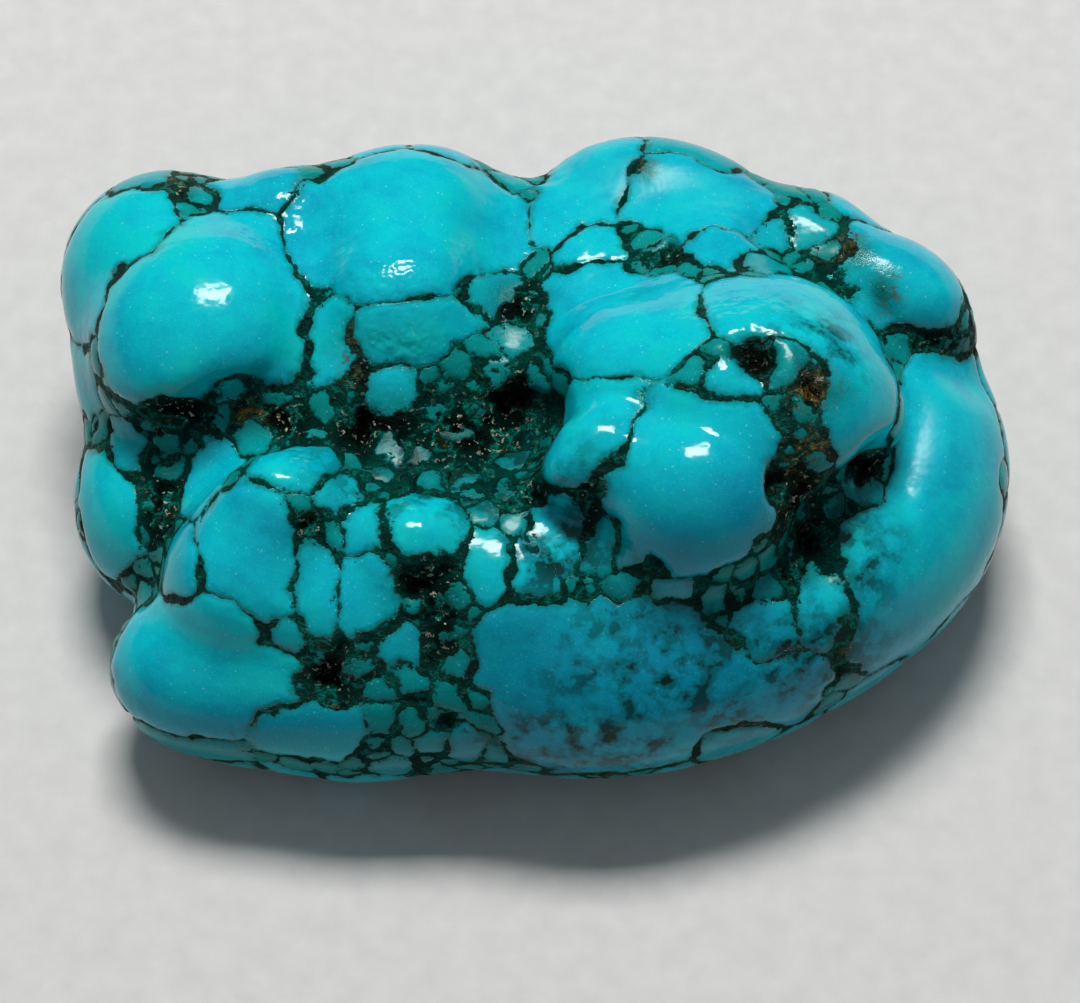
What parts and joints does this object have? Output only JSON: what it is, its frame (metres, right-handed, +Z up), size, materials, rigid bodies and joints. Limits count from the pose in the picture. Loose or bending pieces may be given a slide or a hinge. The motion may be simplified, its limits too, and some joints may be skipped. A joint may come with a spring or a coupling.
{
  "type": "turquoise nugget",
  "caption": "Tumbled turquoise nugget, a lumpy pebble of blue-green stone with rounded bosses, a hollow across its top and dark matrix veins, resting on a worn flat.",
  "frame": {"origin": "middle of the bounding box, on the surface the stone rests on", "axes": "+X along the stone towards its broad smooth end, +Y towards the row of bosses at its back, +Z up"},
  "size_m": [0.059, 0.0406, 0.026],
  "materials": {
    "turquoise": "polished turquoise with sunken dark brown and green matrix"
  },
  "bodies": {
    "root": {"turquoise_nugget": "turquoise"}
  },
  "joints": []
}
